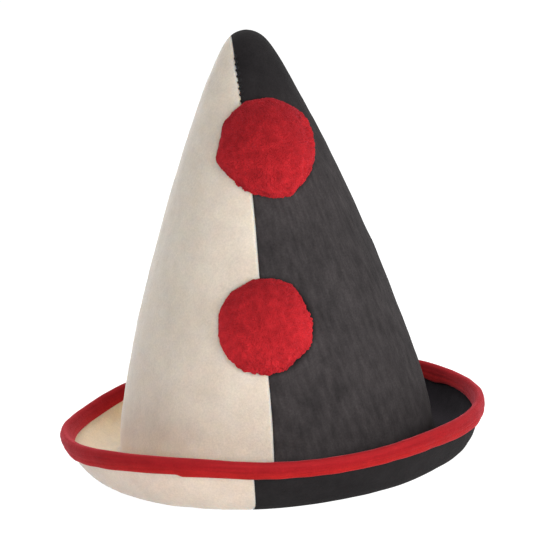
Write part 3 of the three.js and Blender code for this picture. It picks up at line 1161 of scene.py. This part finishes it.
@dataclass
class BrimTape:
    """Red tape folded over the brim's edge, its end lapped over its start."""

    form: HatForm
    slot: str
    finish: TapeFinish
    node: str = "brim_tape"
    layer: float = 1.5 * MM
    gap: float = 0.3 * MM
    # Lengths of the outer and the inner leg in millimetres, each sixteenth of a turn
    leg_rows: tuple[Span, ...] = (
        (8.0, 7.3), (7.6, 6.2), (7.6, 6.5), (7.6, 7.4), (7.6, 7.6), (7.6, 7.6), (7.6, 7.1), (7.6, 7.0),
        (8.0, 7.4), (8.3, 7.6), (7.4, 7.2), (6.1, 6.8), (5.4, 6.8), (5.9, 6.8), (7.1, 7.2), (7.9, 7.6),
    )
    outer_wave: Wave = Wave(0.07 * MM, 30 * MM, 31)
    inner_wave: Wave = Wave(0.15 * MM, 40 * MM, 33)
    face_wave: Wave = Wave(0.12 * MM, 18 * MM, 32)
    # The lapping end hangs lower, by a step that fades along the tape
    lap_step: float = 1.3 * MM
    lap_fade: float = 60 * MM
    lap_slant: float = 4 * MM
    joint_turn: float = math.radians(243)
    joint_sliver: float = 0.0006
    # The inner hem hangs lower in one short stretch at the back right
    bulge: float = 1.7 * MM
    bulge_turn: float = math.radians(33)
    bulge_width: float = math.radians(5)
    # A leg swells in its middle, thins at its round hem and has a faint crease along it
    puff: float = 0.5 * MM
    puff_power: float = 0.8
    hem_round: float = 0.9 * MM
    hem_share: float = 0.3
    crease_depth: float = 0.22 * MM
    crease_share: float = 0.55
    crease_width: float = 0.8 * MM
    # How much the hems and the top are rubbed, and how wide; the top's place is a share of its half round
    hem_rub: float = 0.5
    hem_rub_width: float = 0.7 * MM
    top_rub: float = 0.25
    top_rub_width: float = 1.3 * MM
    top_rub_share: float = 0.8
    sections: int = 660
    leg_points: int = 15
    leg_crowding: float = 1.25
    top_points: int = 13
    # Shares of a leg at which the pocket's points lie
    pocket_shares: tuple[float, ...] = (1.0, 0.5, 0.0)
    length_knots: int = 6
    length_corrections: int = 6

    def turns(self) -> Array:
        """Turns of the sections: even, with the first and the last close together at the joint."""
        whole = np.linspace(0, FULL_TURN - 2 * self.joint_sliver, self.sections)
        return self.joint_turn + self.joint_sliver + whole

    def along_flank(self, way: Array, turn: Array) -> Array:
        """The place on the flank at a length before its edge, by Newton's steps on the length integral.

        Args:
            way: Lengths before the edge.
            turn: Turns of the sections.

        Returns:
            The flank's share at each length.
        """
        knots, weights = np.polynomial.legendre.leggauss(self.length_knots)
        share = np.ones(np.broadcast_shapes(way.shape, turn.shape))
        for _ in range(self.length_corrections):
            half = (1 - share) / 2
            steps = share[..., None] + half[..., None] * (1 + knots)
            _, _, ahead, up = self.form.flank(steps, turn[..., None])
            length = half * (np.hypot(ahead, up) * weights).sum(axis=-1)
            _, _, ahead, up = self.form.flank(share, turn)
            share = np.clip(share + (length - way) / np.hypot(ahead, up), 0, 1)
        return share

    def legs(self, turn: Array) -> tuple[Array, Array]:
        """Lengths of the outer and the inner leg at a turn, each with small waves.

        Args:
            turn: Turns of the sections, which start at the joint.

        Returns:
            The two lengths.
        """
        past_joint = (turn - self.joint_turn) * self.form.rest_end
        step = self.lap_step * smooth_step(past_joint / self.lap_slant) * np.exp(-past_joint / self.lap_fade)
        edge = self.form.edge(turn)
        rows = closed_curve(np.array(self.leg_rows) * MM, turn)
        bulge = self.bulge * bell(turn_between(turn, self.bulge_turn), self.bulge_width)
        outside = rows[..., 0] + step + self.outer_wave.at(edge)
        inside = rows[..., 1] + self.inner_wave.at(edge) + bulge
        return outside, inside

    def leg_skin(self, rest: Array, leg: Array) -> Array:
        """Thickness of a leg: a round hem, a soft swell by a sine and a faint crease.

        Args:
            rest: Distances above the hem.
            leg: Length of the leg.

        Returns:
            One thickness for each distance.
        """
        hem = np.sqrt(1 - (1 - np.clip(rest / self.hem_round, 0, 1)) ** 2)
        swell = self.puff * np.sin(math.pi * np.clip(rest / leg, 0, 1)) ** self.puff_power
        crease = self.crease_depth * bell(rest - self.crease_share * leg, self.crease_width)
        return self.layer * (self.hem_share + (1 - self.hem_share) * hem) + swell - crease

    def carried(self, up: Array, across: Array, turn: Array) -> Array:
        """Points of the section set on the brim.

        Distances below the edge are measured along the flank, so that the legs follow its curve.

        Args:
            up: Distances above the edge, or below it where they are negative.
            across: Distances across the felt from its middle, to the inside.
            turn: Turns of the sections.

        Returns:
            One point for each pair of distances.
        """
        share = self.along_flank(np.maximum(0, -up), turn)
        radius, height, ahead, rise = self.form.flank(share, turn)
        size = np.hypot(ahead, rise)
        ahead, rise = ahead / size, rise / size
        past = np.maximum(0, up)
        over = across - self.form.felt / 2
        radius = radius + past * ahead - over * rise
        height = height + past * rise + over * ahead
        return self.form.place(radius, height, np.broadcast_to(turn, radius.shape))

    def skin(self) -> Skin:
        """The tape's section carried round the brim.

        The section runs from the outer hem up the outer leg, in a half round over the edge, down the inner
        leg to its hem, and back through the pocket that holds the felt.

        Returns:
            The closed ring.
        """
        turn = self.turns()[:, None]
        rows = len(turn)
        leg, leg_inside = self.legs(turn)
        slot = self.form.felt / 2 + self.gap
        shares = np.linspace(0, 1, self.leg_points)[None, :] ** self.leg_crowding
        rest, rest_inside = leg * shares, leg_inside * shares
        outside = slot + self.leg_skin(rest, leg) + self.face_wave.at(self.form.edge(turn))
        inside = slot + self.leg_skin(rest_inside, leg_inside)
        angle = np.linspace(0, math.pi, self.top_points)[None, 1:-1]
        top_out, top_in = outside[:, -1:], inside[:, -1:]
        cap = (top_out + top_in) / 2
        over_up = cap * np.sin(angle)
        over_across = np.where(angle < math.pi / 2, -top_out, -top_in) * np.cos(angle)
        pocket = np.array(self.pocket_shares)[None, :]
        corners = np.full((rows, 2), self.gap)
        wall = np.full((rows, len(self.pocket_shares) + 1), slot)
        up = side_by_side(
            rest - leg,
            over_up,
            (rest_inside - leg_inside)[:, ::-1],
            -leg_inside * pocket,
            corners,
            -leg * pocket[:, ::-1],
        )
        across = side_by_side(-outside, over_across, inside[:, ::-1], wall, -wall)
        points = self.carried(up, across, turn)
        at_top, in_pocket = np.zeros_like(over_up), np.zeros_like(side_by_side(wall, wall))
        hem_out, hem_in = bell(rest, self.hem_rub_width), bell(rest_inside, self.hem_rub_width)
        near_hem = side_by_side(hem_out, at_top, hem_in[:, ::-1], in_pocket)
        near_top = bell(up - self.top_rub_share * cap, self.top_rub_width)
        rub = np.clip(self.hem_rub * near_hem + self.top_rub * near_top, 0, 1)
        down_out, down_in = 1 - rest / leg, 1 - rest_inside / leg_inside
        hem = side_by_side(down_out, at_top, down_in[:, ::-1], in_pocket)
        along = np.broadcast_to(turn * self.form.rest_end, up.shape)
        flat = np.stack([along, distance_gone(points)], axis=-1)
        quads = grid_quads(rows, up.shape[1], ring=True, tube=True)
        marks = {"rub": rub.ravel(), "hem": hem.ravel()}
        return Skin(points.reshape(-1, 3), quads, flat=flat.reshape(-1, 2), marks=marks)

    def build(self) -> bpy.types.Object:
        """Makes the tape and puts it in place of its node."""
        return dress(self.skin().piece("brim_tape_folded", self.finish.material()), self.node)


@dataclass(frozen=True)
class Trim:
    """A flat that scissors cut on a pompom: turn from its right side, seen from the front, and depth."""

    turn: float
    depth: float

    @classmethod
    def each(cls, *rows: Span) -> tuple["Trim", ...]:
        """One flat for each row of a turn in degrees and a depth in millimetres."""
        return tuple(cls(math.radians(turn), depth * MM) for turn, depth in rows)


@dataclass
class Pompom:
    """A dense ball of cut yarn, flattened on the crown's front and trimmed by hand."""

    form: HatForm
    node: str
    slot: str
    finish: YarnFinish
    seed: int
    aside: float
    height: float
    radius: float
    # Radius from the ball's middle within which the felt gets the full painted contact shadow, which fades
    # out beyond it
    shadow_radius: float
    trims: tuple[Trim, ...]
    # Painted light on the yarn: its level, and by which shares it is lighter to the right, at both sides and
    # below
    level: float
    painted_light_right: float
    painted_light_sides: float = 0.34
    painted_light_below: float = 0.16
    corner: float = 0.25 * MM
    least_facing: float = 0.3
    flatness: float = 0.44
    slope: float = 1.5
    # How far the ball bends back with the crown, and the share of the crown's half width where that ends
    wrap: float = 0.8
    wrap_limit: float = 0.78
    standoff: float = 0.05
    clearance: float = 0.35 * MM
    tufts: int = 13600
    tuft_jitter: float = 0.006
    tuft_radius: float = 0.62 * MM
    tuft_widths: Span = (0.8, 1.2)
    tuft_root_width: float = 0.85
    tuft_length: float = 2.4 * MM
    tuft_unevenness: float = 0.1 * MM
    tuft_crown: float = 0.32 * MM
    tuft_sides: int = 5
    tuft_lean: float = 0.16
    shoulder_pile: float = 0.8
    root_share: float = 0.8
    tip_share: float = 0.985
    back_limit: float = -0.62
    lumps: float = 0.12 * MM
    lump_length: float = 0.42
    ruffle: float = 0.13 * MM
    ruffle_length: float = 0.16
    fray: float = 0.5 * MM
    fray_turn: float = math.radians(320)
    core_share: float = 0.955
    # The core takes a colour close to the roots', painted shade in the gaps between the tufts
    core_pile: float = 0.2
    core_tone: float = 0.5
    core_rows: int = 48
    core_columns: int = 96

    def stand(self) -> tuple[Array, Array]:
        """The spot on the crown's face where the ball sits and the three directions of its frame, as rows.

        The ball's Z axis is the crown's outward direction at the spot, and its X stays level.

        Returns:
            The spot, and the frame.
        """
        width = float(self.form.crown_half_width(self.height))
        slope = (float(self.form.crown_half_width(self.height + MM)) - width) / MM
        ahead = -self.form.oval * math.sqrt(width**2 - self.aside**2)
        normal = Vector((self.aside / width**2, ahead / (self.form.oval * width) ** 2, -slope / width))
        normal.normalize()
        spot = Vector((self.aside + self.form.crown_shift, ahead, self.height))
        turned = Vector((0, 0, 1)).rotation_difference(normal).to_matrix()
        return np.array(spot), np.array(turned).T

    def fall(self, level: Array, outward: Array) -> Array:
        """How far the crown's face falls away behind points of the plane that touches it at the spot.

        The face is met along Y, where the crown's cut at the point's height is an ellipse, which is followed
        as far as the ball bends. The way to it is taken along the outward direction.

        Args:
            level: Points of the plane.
            outward: Direction of length 1 in which the crown faces at the spot.

        Returns:
            One distance for each point.
        """
        width = self.form.crown_half_width(level[..., 2])
        limit = self.wrap_limit * width
        away = np.clip(level[..., 0] - self.form.crown_shift, -limit, limit)
        face = -self.form.oval * np.sqrt(width**2 - away**2)
        return (level[..., 1] - face) * outward[1]

    def trimmed(self, direction: Array) -> Array:
        """Way from the middle to the face that the scissors left, in each direction.

        The shortest of the radius and the ways to the flats is taken as a soft minimum, which rounds the
        corners: minus c times the logarithm of the sum of e to the power of minus each way over c.

        Args:
            direction: Directions from the middle, of length 1.

        Returns:
            One length for each direction.
        """
        ways = [np.full(direction.shape[:-1], self.radius)]
        for trim in self.trims:
            facing = direction[..., 0] * math.cos(trim.turn) + direction[..., 1] * math.sin(trim.turn)
            ways.append((self.radius - trim.depth) / np.maximum(facing, self.least_facing))
        return -self.corner * np.logaddexp.reduce(-np.stack(ways) / self.corner, axis=0)

    def unevenness(self, direction: Array) -> Array:
        """Soft lumps and small ruffles all over, and a frayed rim at the lower right.

        Args:
            direction: Directions from the middle, of length 1.

        Returns:
            How far the ball stands out in each direction.
        """
        turn = np.arctan2(direction[..., 1], direction[..., 0])
        rim = (1 - direction[..., 2] ** 2) ** 2
        frayed = rim * smooth_step(0.5 + np.cos(turn - self.fray_turn))
        lumps = self.lumps * ripple(direction, self.lump_length, self.seed + 1)
        ruffle = ripple(direction, self.ruffle_length, self.seed + 2)
        return lumps + (self.ruffle + self.fray * frayed) * ruffle

    def ball(self, direction: Array, grow: Array | float) -> Array:
        """Points of the flattened ball, in the hat's frame.

        A direction is scaled by the way to the trimmed face, flattened, moved to the crown, bent back with it
        and, where it would reach into the felt, moved out to its face.

        Args:
            direction: Directions from the middle, of length 1.
            grow: Share of the full radius.

        Returns:
            One point for each direction.
        """
        size = self.trimmed(direction) * grow
        uneven = self.unevenness(direction) * grow
        rise = self.flatness * size * np.abs(direction[..., 2]) ** (self.slope - 1) + uneven
        local = np.stack([size + uneven, size + uneven, rise], axis=-1) * direction
        spot, axes = self.stand()
        level = spot + local[..., :2] @ axes[:2]
        outward = local[..., 2] + self.standoff * self.radius - self.wrap * self.fall(level, axes[2])
        return self.clear_of_felt(level + outward[..., None] * axes[2])

    def clear_of_felt(self, points: Array) -> Array:
        """Moves points that lie in the crown straight out of its middle line to just over its face.

        Args:
            points: Points of the ball.

        Returns:
            The points, all clear of the felt.
        """
        middle = (self.form.crown_shift, 0.0)
        away = points[..., :2] - middle
        reach = np.hypot(away[..., 0], away[..., 1] / self.form.oval)
        least = self.form.crown_half_width(points[..., 2]) + self.clearance
        scale = np.maximum(1.0, least / np.maximum(reach, TINY))
        return np.concatenate([away * scale[..., None] + middle, points[..., 2:]], axis=-1)

    def painted_light(self, direction: Array) -> Array:
        """Painted light on the yarn: lighter at both sides and below, and to the right by the ball's own
        share.

        Args:
            direction: Directions from the middle, of length 1.

        Returns:
            One value for each direction.
        """
        aside, up = direction[..., 0], direction[..., 1]
        shares = self.painted_light_right * aside + self.painted_light_sides * aside**2 - self.painted_light_below * up
        return self.level * (1 + shares)

    def core(self) -> Skin:
        """The matted inside of the ball, a grid of turns and tilts a little smaller than the pile.

        Returns:
            The closed core.
        """
        tilt = np.linspace(0, math.pi, self.core_rows)[:, None]
        turn = np.linspace(0, FULL_TURN, self.core_columns, endpoint=False)[None, :]
        flat, level = np.sin(tilt), np.cos(tilt) + 0 * turn
        direction = np.stack([flat * np.cos(turn), flat * np.sin(turn), level], axis=-1)
        points = self.ball(direction, self.core_share).reshape(-1, 3)
        ones = np.ones(len(points))
        marks = {"pile": self.core_pile * ones, "tone": self.core_tone * ones}
        marks["painted_light"] = self.painted_light(direction).ravel()
        return Skin(points, grid_quads(self.core_rows, self.core_columns, tube=True), marks=marks)

    def pile(self) -> Skin:
        """The tufts: short blunt cones that stand on the ball, evenly spread by the golden angle.

        Each has a ring at its root, a ring at its shoulder and a point, and leans a little.

        Returns:
            All tufts as one mesh.
        """
        draw = np.random.default_rng(self.seed)
        number = np.arange(self.tufts)
        tilt = 1 - (2 * number + 1) / self.tufts
        kept = number[tilt > self.back_limit]
        tilt = tilt[kept]
        turn = kept * math.pi * (3 - math.sqrt(5))
        flat = np.sqrt(1 - tilt**2)
        direction = np.stack([flat * np.cos(turn), flat * np.sin(turn), tilt], axis=-1)
        direction = unit(direction + draw.normal(scale=self.tuft_jitter, size=direction.shape))
        top = self.ball(direction, self.tip_share)
        axis = unit(top - self.ball(direction, self.root_share))
        axis = unit(axis + self.tuft_lean * draw.normal(size=axis.shape))
        helper = unit(np.cross(axis, draw.normal(size=axis.shape)))
        count = len(kept)
        tip = top + axis * draw.normal(scale=self.tuft_unevenness, size=(count, 1))
        width = self.tuft_radius * draw.uniform(*self.tuft_widths, size=(count, 1))
        ring = width[..., None] * rings(helper, np.cross(axis, helper), self.tuft_sides)
        shoulder = (tip - axis * self.tuft_crown)[:, None] + ring
        root = (tip - axis * self.tuft_length)[:, None] + self.tuft_root_width * ring
        points = side_by_side(root, shoulder, tip[:, None])
        per_tuft = points.shape[1]
        side = np.arange(self.tuft_sides)
        after = (side + 1) % self.tuft_sides
        walls = np.stack([side, after, after + self.tuft_sides, side + self.tuft_sides], axis=-1)
        caps = np.stack([side, after, np.full_like(side, self.tuft_sides)], axis=-1) + self.tuft_sides
        first = (np.arange(count) * per_tuft)[:, None, None]
        heights = np.repeat([0.0, self.shoulder_pile, 1.0], [self.tuft_sides, self.tuft_sides, 1])
        tone = np.repeat(draw.uniform(size=count), per_tuft)
        painted_light = np.repeat(self.painted_light(direction), per_tuft)
        return Skin(
            points.reshape(-1, 3),
            (first + walls).reshape(-1, 4),
            (first + caps).reshape(-1, 3),
            marks={"pile": np.tile(heights, count), "tone": tone, "painted_light": painted_light},
        )

    def build(self) -> bpy.types.Object:
        """Joins core and pile into one piece and puts it in place of its node.

        Returns:
            The finished piece.
        """
        core, pile = self.core(), self.pile()
        shift = len(core.points)
        joined = Skin(
            np.concatenate([core.points, pile.points]),
            np.concatenate([core.quads, pile.quads + shift]),
            pile.triangles + shift,
            marks={key: np.concatenate([core.marks[key], pile.marks[key]]) for key in core.marks},
        )
        return dress(joined.piece(f"{self.node}_yarn", self.finish.material()), self.node)


def dress(piece: bpy.types.Object, node: str | None = None) -> bpy.types.Object:
    """Lets a piece ride on the hat and hides the part that it replaces.

    Args:
        piece: The finished piece.
        node: The node that it replaces, if there is one.

    Returns:
        The same piece.
    """
    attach(piece, BODY)
    if node is not None:
        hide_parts(node)
    log.info("%s: %d faces", piece.name, len(piece.data.polygons))
    return piece


@dataclass(frozen=True)
class Lamp:
    """A square soft light: its place, its size and its watts."""

    name: str
    place: Place
    size: float
    watts: float

    def build(self, aim: Vector) -> None:
        """Makes the light.

        Args:
            aim: The spot that it is turned to.
        """
        light = bpy.data.lights.new(self.name, "AREA")
        light.size = self.size
        light.energy = self.watts
        made = bpy.data.objects.new(self.name, light)
        made.location = self.place
        made.rotation_euler = (aim - Vector(self.place)).to_track_quat("-Z", "Y").to_euler()
        bpy.context.scene.collection.objects.link(made)


@dataclass(frozen=True)
class Floor:
    """A wide flat floor of a grey at a level, which glows so that it stays pale."""

    name: str
    level: float
    grey: float
    glow: float
    half: float = 6.0
    roughness: float = 0.9

    def build(self) -> bpy.types.Object:
        """Makes the floor.

        Returns:
            The floor.
        """
        way = np.linspace(-self.half, self.half, 3)
        x, y = np.meshgrid(way, way)
        points = np.stack([x, y, np.full_like(x, self.level)], axis=-1).reshape(-1, 3)
        board = NodeBoard(self.name)
        glow = {"Emission_Color": (1.0, 1.0, 1.0), "Emission_Strength": self.glow}
        paint = {"Base_Color": (self.grey, self.grey, self.grey), "Roughness": self.roughness}
        material = board.ended(board.add("BsdfPrincipled", "BSDF", **paint, **glow))
        made = Skin(points, grid_quads(3, 3)[:, ::-1]).piece(self.name, material)
        return made


@dataclass
class Studio:
    """White floor, soft lights in front, at both sides, above and behind, and the camera."""

    bounce: Floor = Floor("studio_bounce", -0.2 * MM, 0.88, 0.08)
    seen: Floor = Floor("studio_floor", -0.4 * MM, 0.3, 1.0)
    world_colour: Colour = (1.0, 0.99, 0.98)
    world_strength: float = 0.01
    aim: Place = (0.0, 0.0, 0.1)
    lamps: tuple[Lamp, ...] = (
        Lamp("front", (0.35, -1.45, 0.43), 0.3, 3.6),
        Lamp("front_high", (0.3, -1.2, 0.95), 0.5, 4.4),
        Lamp("front_left", (-0.35, -1.45, 0.43), 0.3, 5.8),
        Lamp("left", (-1.3, -0.1, 0.45), 0.7, 0.9),
        Lamp("front_right", (0.95, -1.05, 0.42), 0.5, 9.2),
        Lamp("right", (1.3, -0.2, 0.45), 0.7, 3.6),
        Lamp("high", (0.0, 0.8, 1.4), 1.0, 14.4),
        Lamp("back_left", (-1.0, 0.9, 0.7), 0.8, 4.7),
    )
    camera_place: Place = (5.8 * MM, -1469.17 * MM, 414.27 * MM)
    camera_fall: float = math.radians(11.64)
    camera_roll: float = math.radians(-4.49)
    sensor_width: float = 36.0
    lens: float = 169.92
    sight: float = 50.0

    def floors(self) -> None:
        """A floor that only returns light to the hat, and a whiter one under it that only the camera sees."""
        bounce = self.bounce.build()
        bounce.visible_camera = False
        bounce.visible_shadow = False
        seen = self.seen.build()
        seen.visible_diffuse = False
        seen.visible_shadow = False

    def world(self) -> None:
        """Even grey light from all round."""
        world = bpy.data.worlds.new("studio_world")
        world.use_nodes = True
        back = world.node_tree.nodes["Background"]
        back.inputs["Color"].default_value = (*self.world_colour, 1.0)
        back.inputs["Strength"].default_value = self.world_strength
        bpy.context.scene.world = world

    def camera(self) -> None:
        """The camera, which looks from the front, down by its fall and turned by its roll."""
        fall, roll = self.camera_fall, self.camera_roll
        back = Vector((0, -math.cos(fall), math.sin(fall)))
        up = Vector((0, math.sin(fall), math.cos(fall)))
        right = Vector((1, 0, 0))
        rolled_right = right * math.cos(roll) + up * math.sin(roll)
        rolled_up = up * math.cos(roll) - right * math.sin(roll)
        data = bpy.data.cameras.new("camera")
        data.sensor_width = self.sensor_width
        data.lens = self.lens
        data.clip_end = self.sight
        made = bpy.data.objects.new("camera", data)
        turned = Matrix((rolled_right, rolled_up, back)).transposed()
        made.matrix_world = Matrix.Translation(Vector(self.camera_place)) @ turned.to_4x4()
        bpy.context.scene.collection.objects.link(made)
        bpy.context.scene.camera = made

    def build(self) -> None:
        """Makes the studio."""
        self.camera()
        self.world()
        self.floors()
        for lamp in self.lamps:
            lamp.build(Vector(self.aim))
        bpy.context.scene.view_settings.view_transform = "Standard"


CREAM_FELT = FeltFinish(
    "cream_wool_felt",
    base=(0.738, 0.65, 0.559),
    cloud=(0.668, 0.581, 0.492),
    # Lighter raised fibres: real streaks whose lightness is partly painted sheen
    nap_and_sheen=(0.771, 0.692, 0.602),
    # Painted light in the brim's gutter
    painted_gutter_light=(1.28, 1.22, 1.09),
    nap_share=0.3,
    mottle_share=0.035,
    grain_share=0.09,
    glow_through=4 * MM,
    sheen=Sheen(0.8, 0.3, (1.0, 0.97, 0.92)),
    # Painted contact shadow round the pompoms
    painted_shadow_shade=0.95,
)
BLACK_FELT = FeltFinish(
    "black_wool_felt",
    base=(0.0128, 0.0112, 0.012),
    cloud=(0.0172, 0.0153, 0.016),
    # Lighter raised fibres: real streaks whose lightness on the black crown is painted sheen
    nap_and_sheen=(0.0687, 0.0597, 0.0604),
    # Painted light in the brim's gutter
    painted_gutter_light=(1.6, 1.5, 1.75),
    nap_share=0.85,
    mottle_share=0.15,
    grain_share=0.2,
    glow_through=0.0,
    sheen=Sheen(0.03, 0.45, (1.0, 0.96, 0.96)),
    # Painted contact shadow round the pompoms
    painted_shadow_shade=0.55,
)
RED_TAPE = TapeFinish(
    "red_felt_tape",
    base=(0.372, 0.014, 0.0158),
    dark=(0.31, 0.0112, 0.0132),
    rubbed=(0.5, 0.03, 0.034),
    # Painted shade over the top and painted light towards the hems
    painted_top_shade=(0.9, 0.8, 0.95),
    painted_hem_light=(1.28, 1.2, 0.95),
    sheen=Sheen(0.55, 0.35, (1.0, 0.2, 0.25), 0.05),
)
RED_YARN = YarnFinish(
    "red_cut_yarn",
    # The darker root colour is painted shade between the tufts
    root=(0.308, 0.0102, 0.0145),
    tip=(0.41, 0.0172, 0.0222),
    pale=(0.47, 0.028, 0.034),
    sheen=Sheen(0.35, 0.45, (1.0, 0.15, 0.22), 0.02),
)
BLACK_THREAD = ThreadFinish(
    "black_thread",
    base=(0.006, 0.006, 0.007),
    light=(0.02, 0.019, 0.02),
    sheen=Sheen(0.1, 0.4, (1.0, 1.0, 1.0)),
)
UPPER_TRIMS = Trim.each(
    (12, 3.9), (26, 2.8), (50, 1.1), (83, 2.7), (105, 2.6), (137, 2.4), (172, 3.5),
    (199, 1.0), (229, 4.5), (258, 3.1), (278, 1.9), (333, 5.5), (347, 4.7),
)
LOWER_TRIMS = Trim.each(
    (18, 2.9), (36, 0.6), (84, 0.6), (112, 0.8), (177, 0.9), (255, 0.8), (281, 1.2), (309, 2.6), (353, 1.9),
)


def pair_of_pompoms(form: HatForm) -> list[Pompom]:
    """The two balls on the front.

    Args:
        form: The hat that they sit on.

    Returns:
        The upper and the lower ball.
    """
    # Each ball has its own painted light: the upper one darker overall and lighter to its right
    upper = Pompom(
        form, "pompom_upper", "red_yarn", RED_YARN, seed=51, aside=8.2 * MM, height=191.2 * MM,
        radius=31.0 * MM, shadow_radius=27.0 * MM, trims=UPPER_TRIMS, level=0.86, painted_light_right=0.13,
    )
    lower = Pompom(
        form, "pompom_lower", "red_yarn", RED_YARN, seed=71, aside=-1.5 * MM, height=96.4 * MM,
        radius=27.6 * MM, shadow_radius=26.0 * MM, trims=LOWER_TRIMS, level=1.0, painted_light_right=-0.03,
    )
    return [upper, lower]


def main() -> None:
    """Builds the studio and the hat's pieces in order."""
    logging.basicConfig(level=logging.INFO, format="%(message)s")
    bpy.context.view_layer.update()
    Studio().build()
    form = HatForm()
    pompoms = pair_of_pompoms(form)
    FeltHalf(form, Side.CREAM, "cream_felt", CREAM_FELT, pompoms).build()
    FeltHalf(form, Side.BLACK, "black_felt", BLACK_FELT, pompoms).build()
    SeamStitches(form, True, "black_felt", BLACK_THREAD).build()
    SeamStitches(form, False, "black_felt", BLACK_THREAD).build()
    BrimTape(form, "red_tape", RED_TAPE).build()
    for pompom in pompoms:
        pompom.build()


if __name__ == "__main__":
    main()
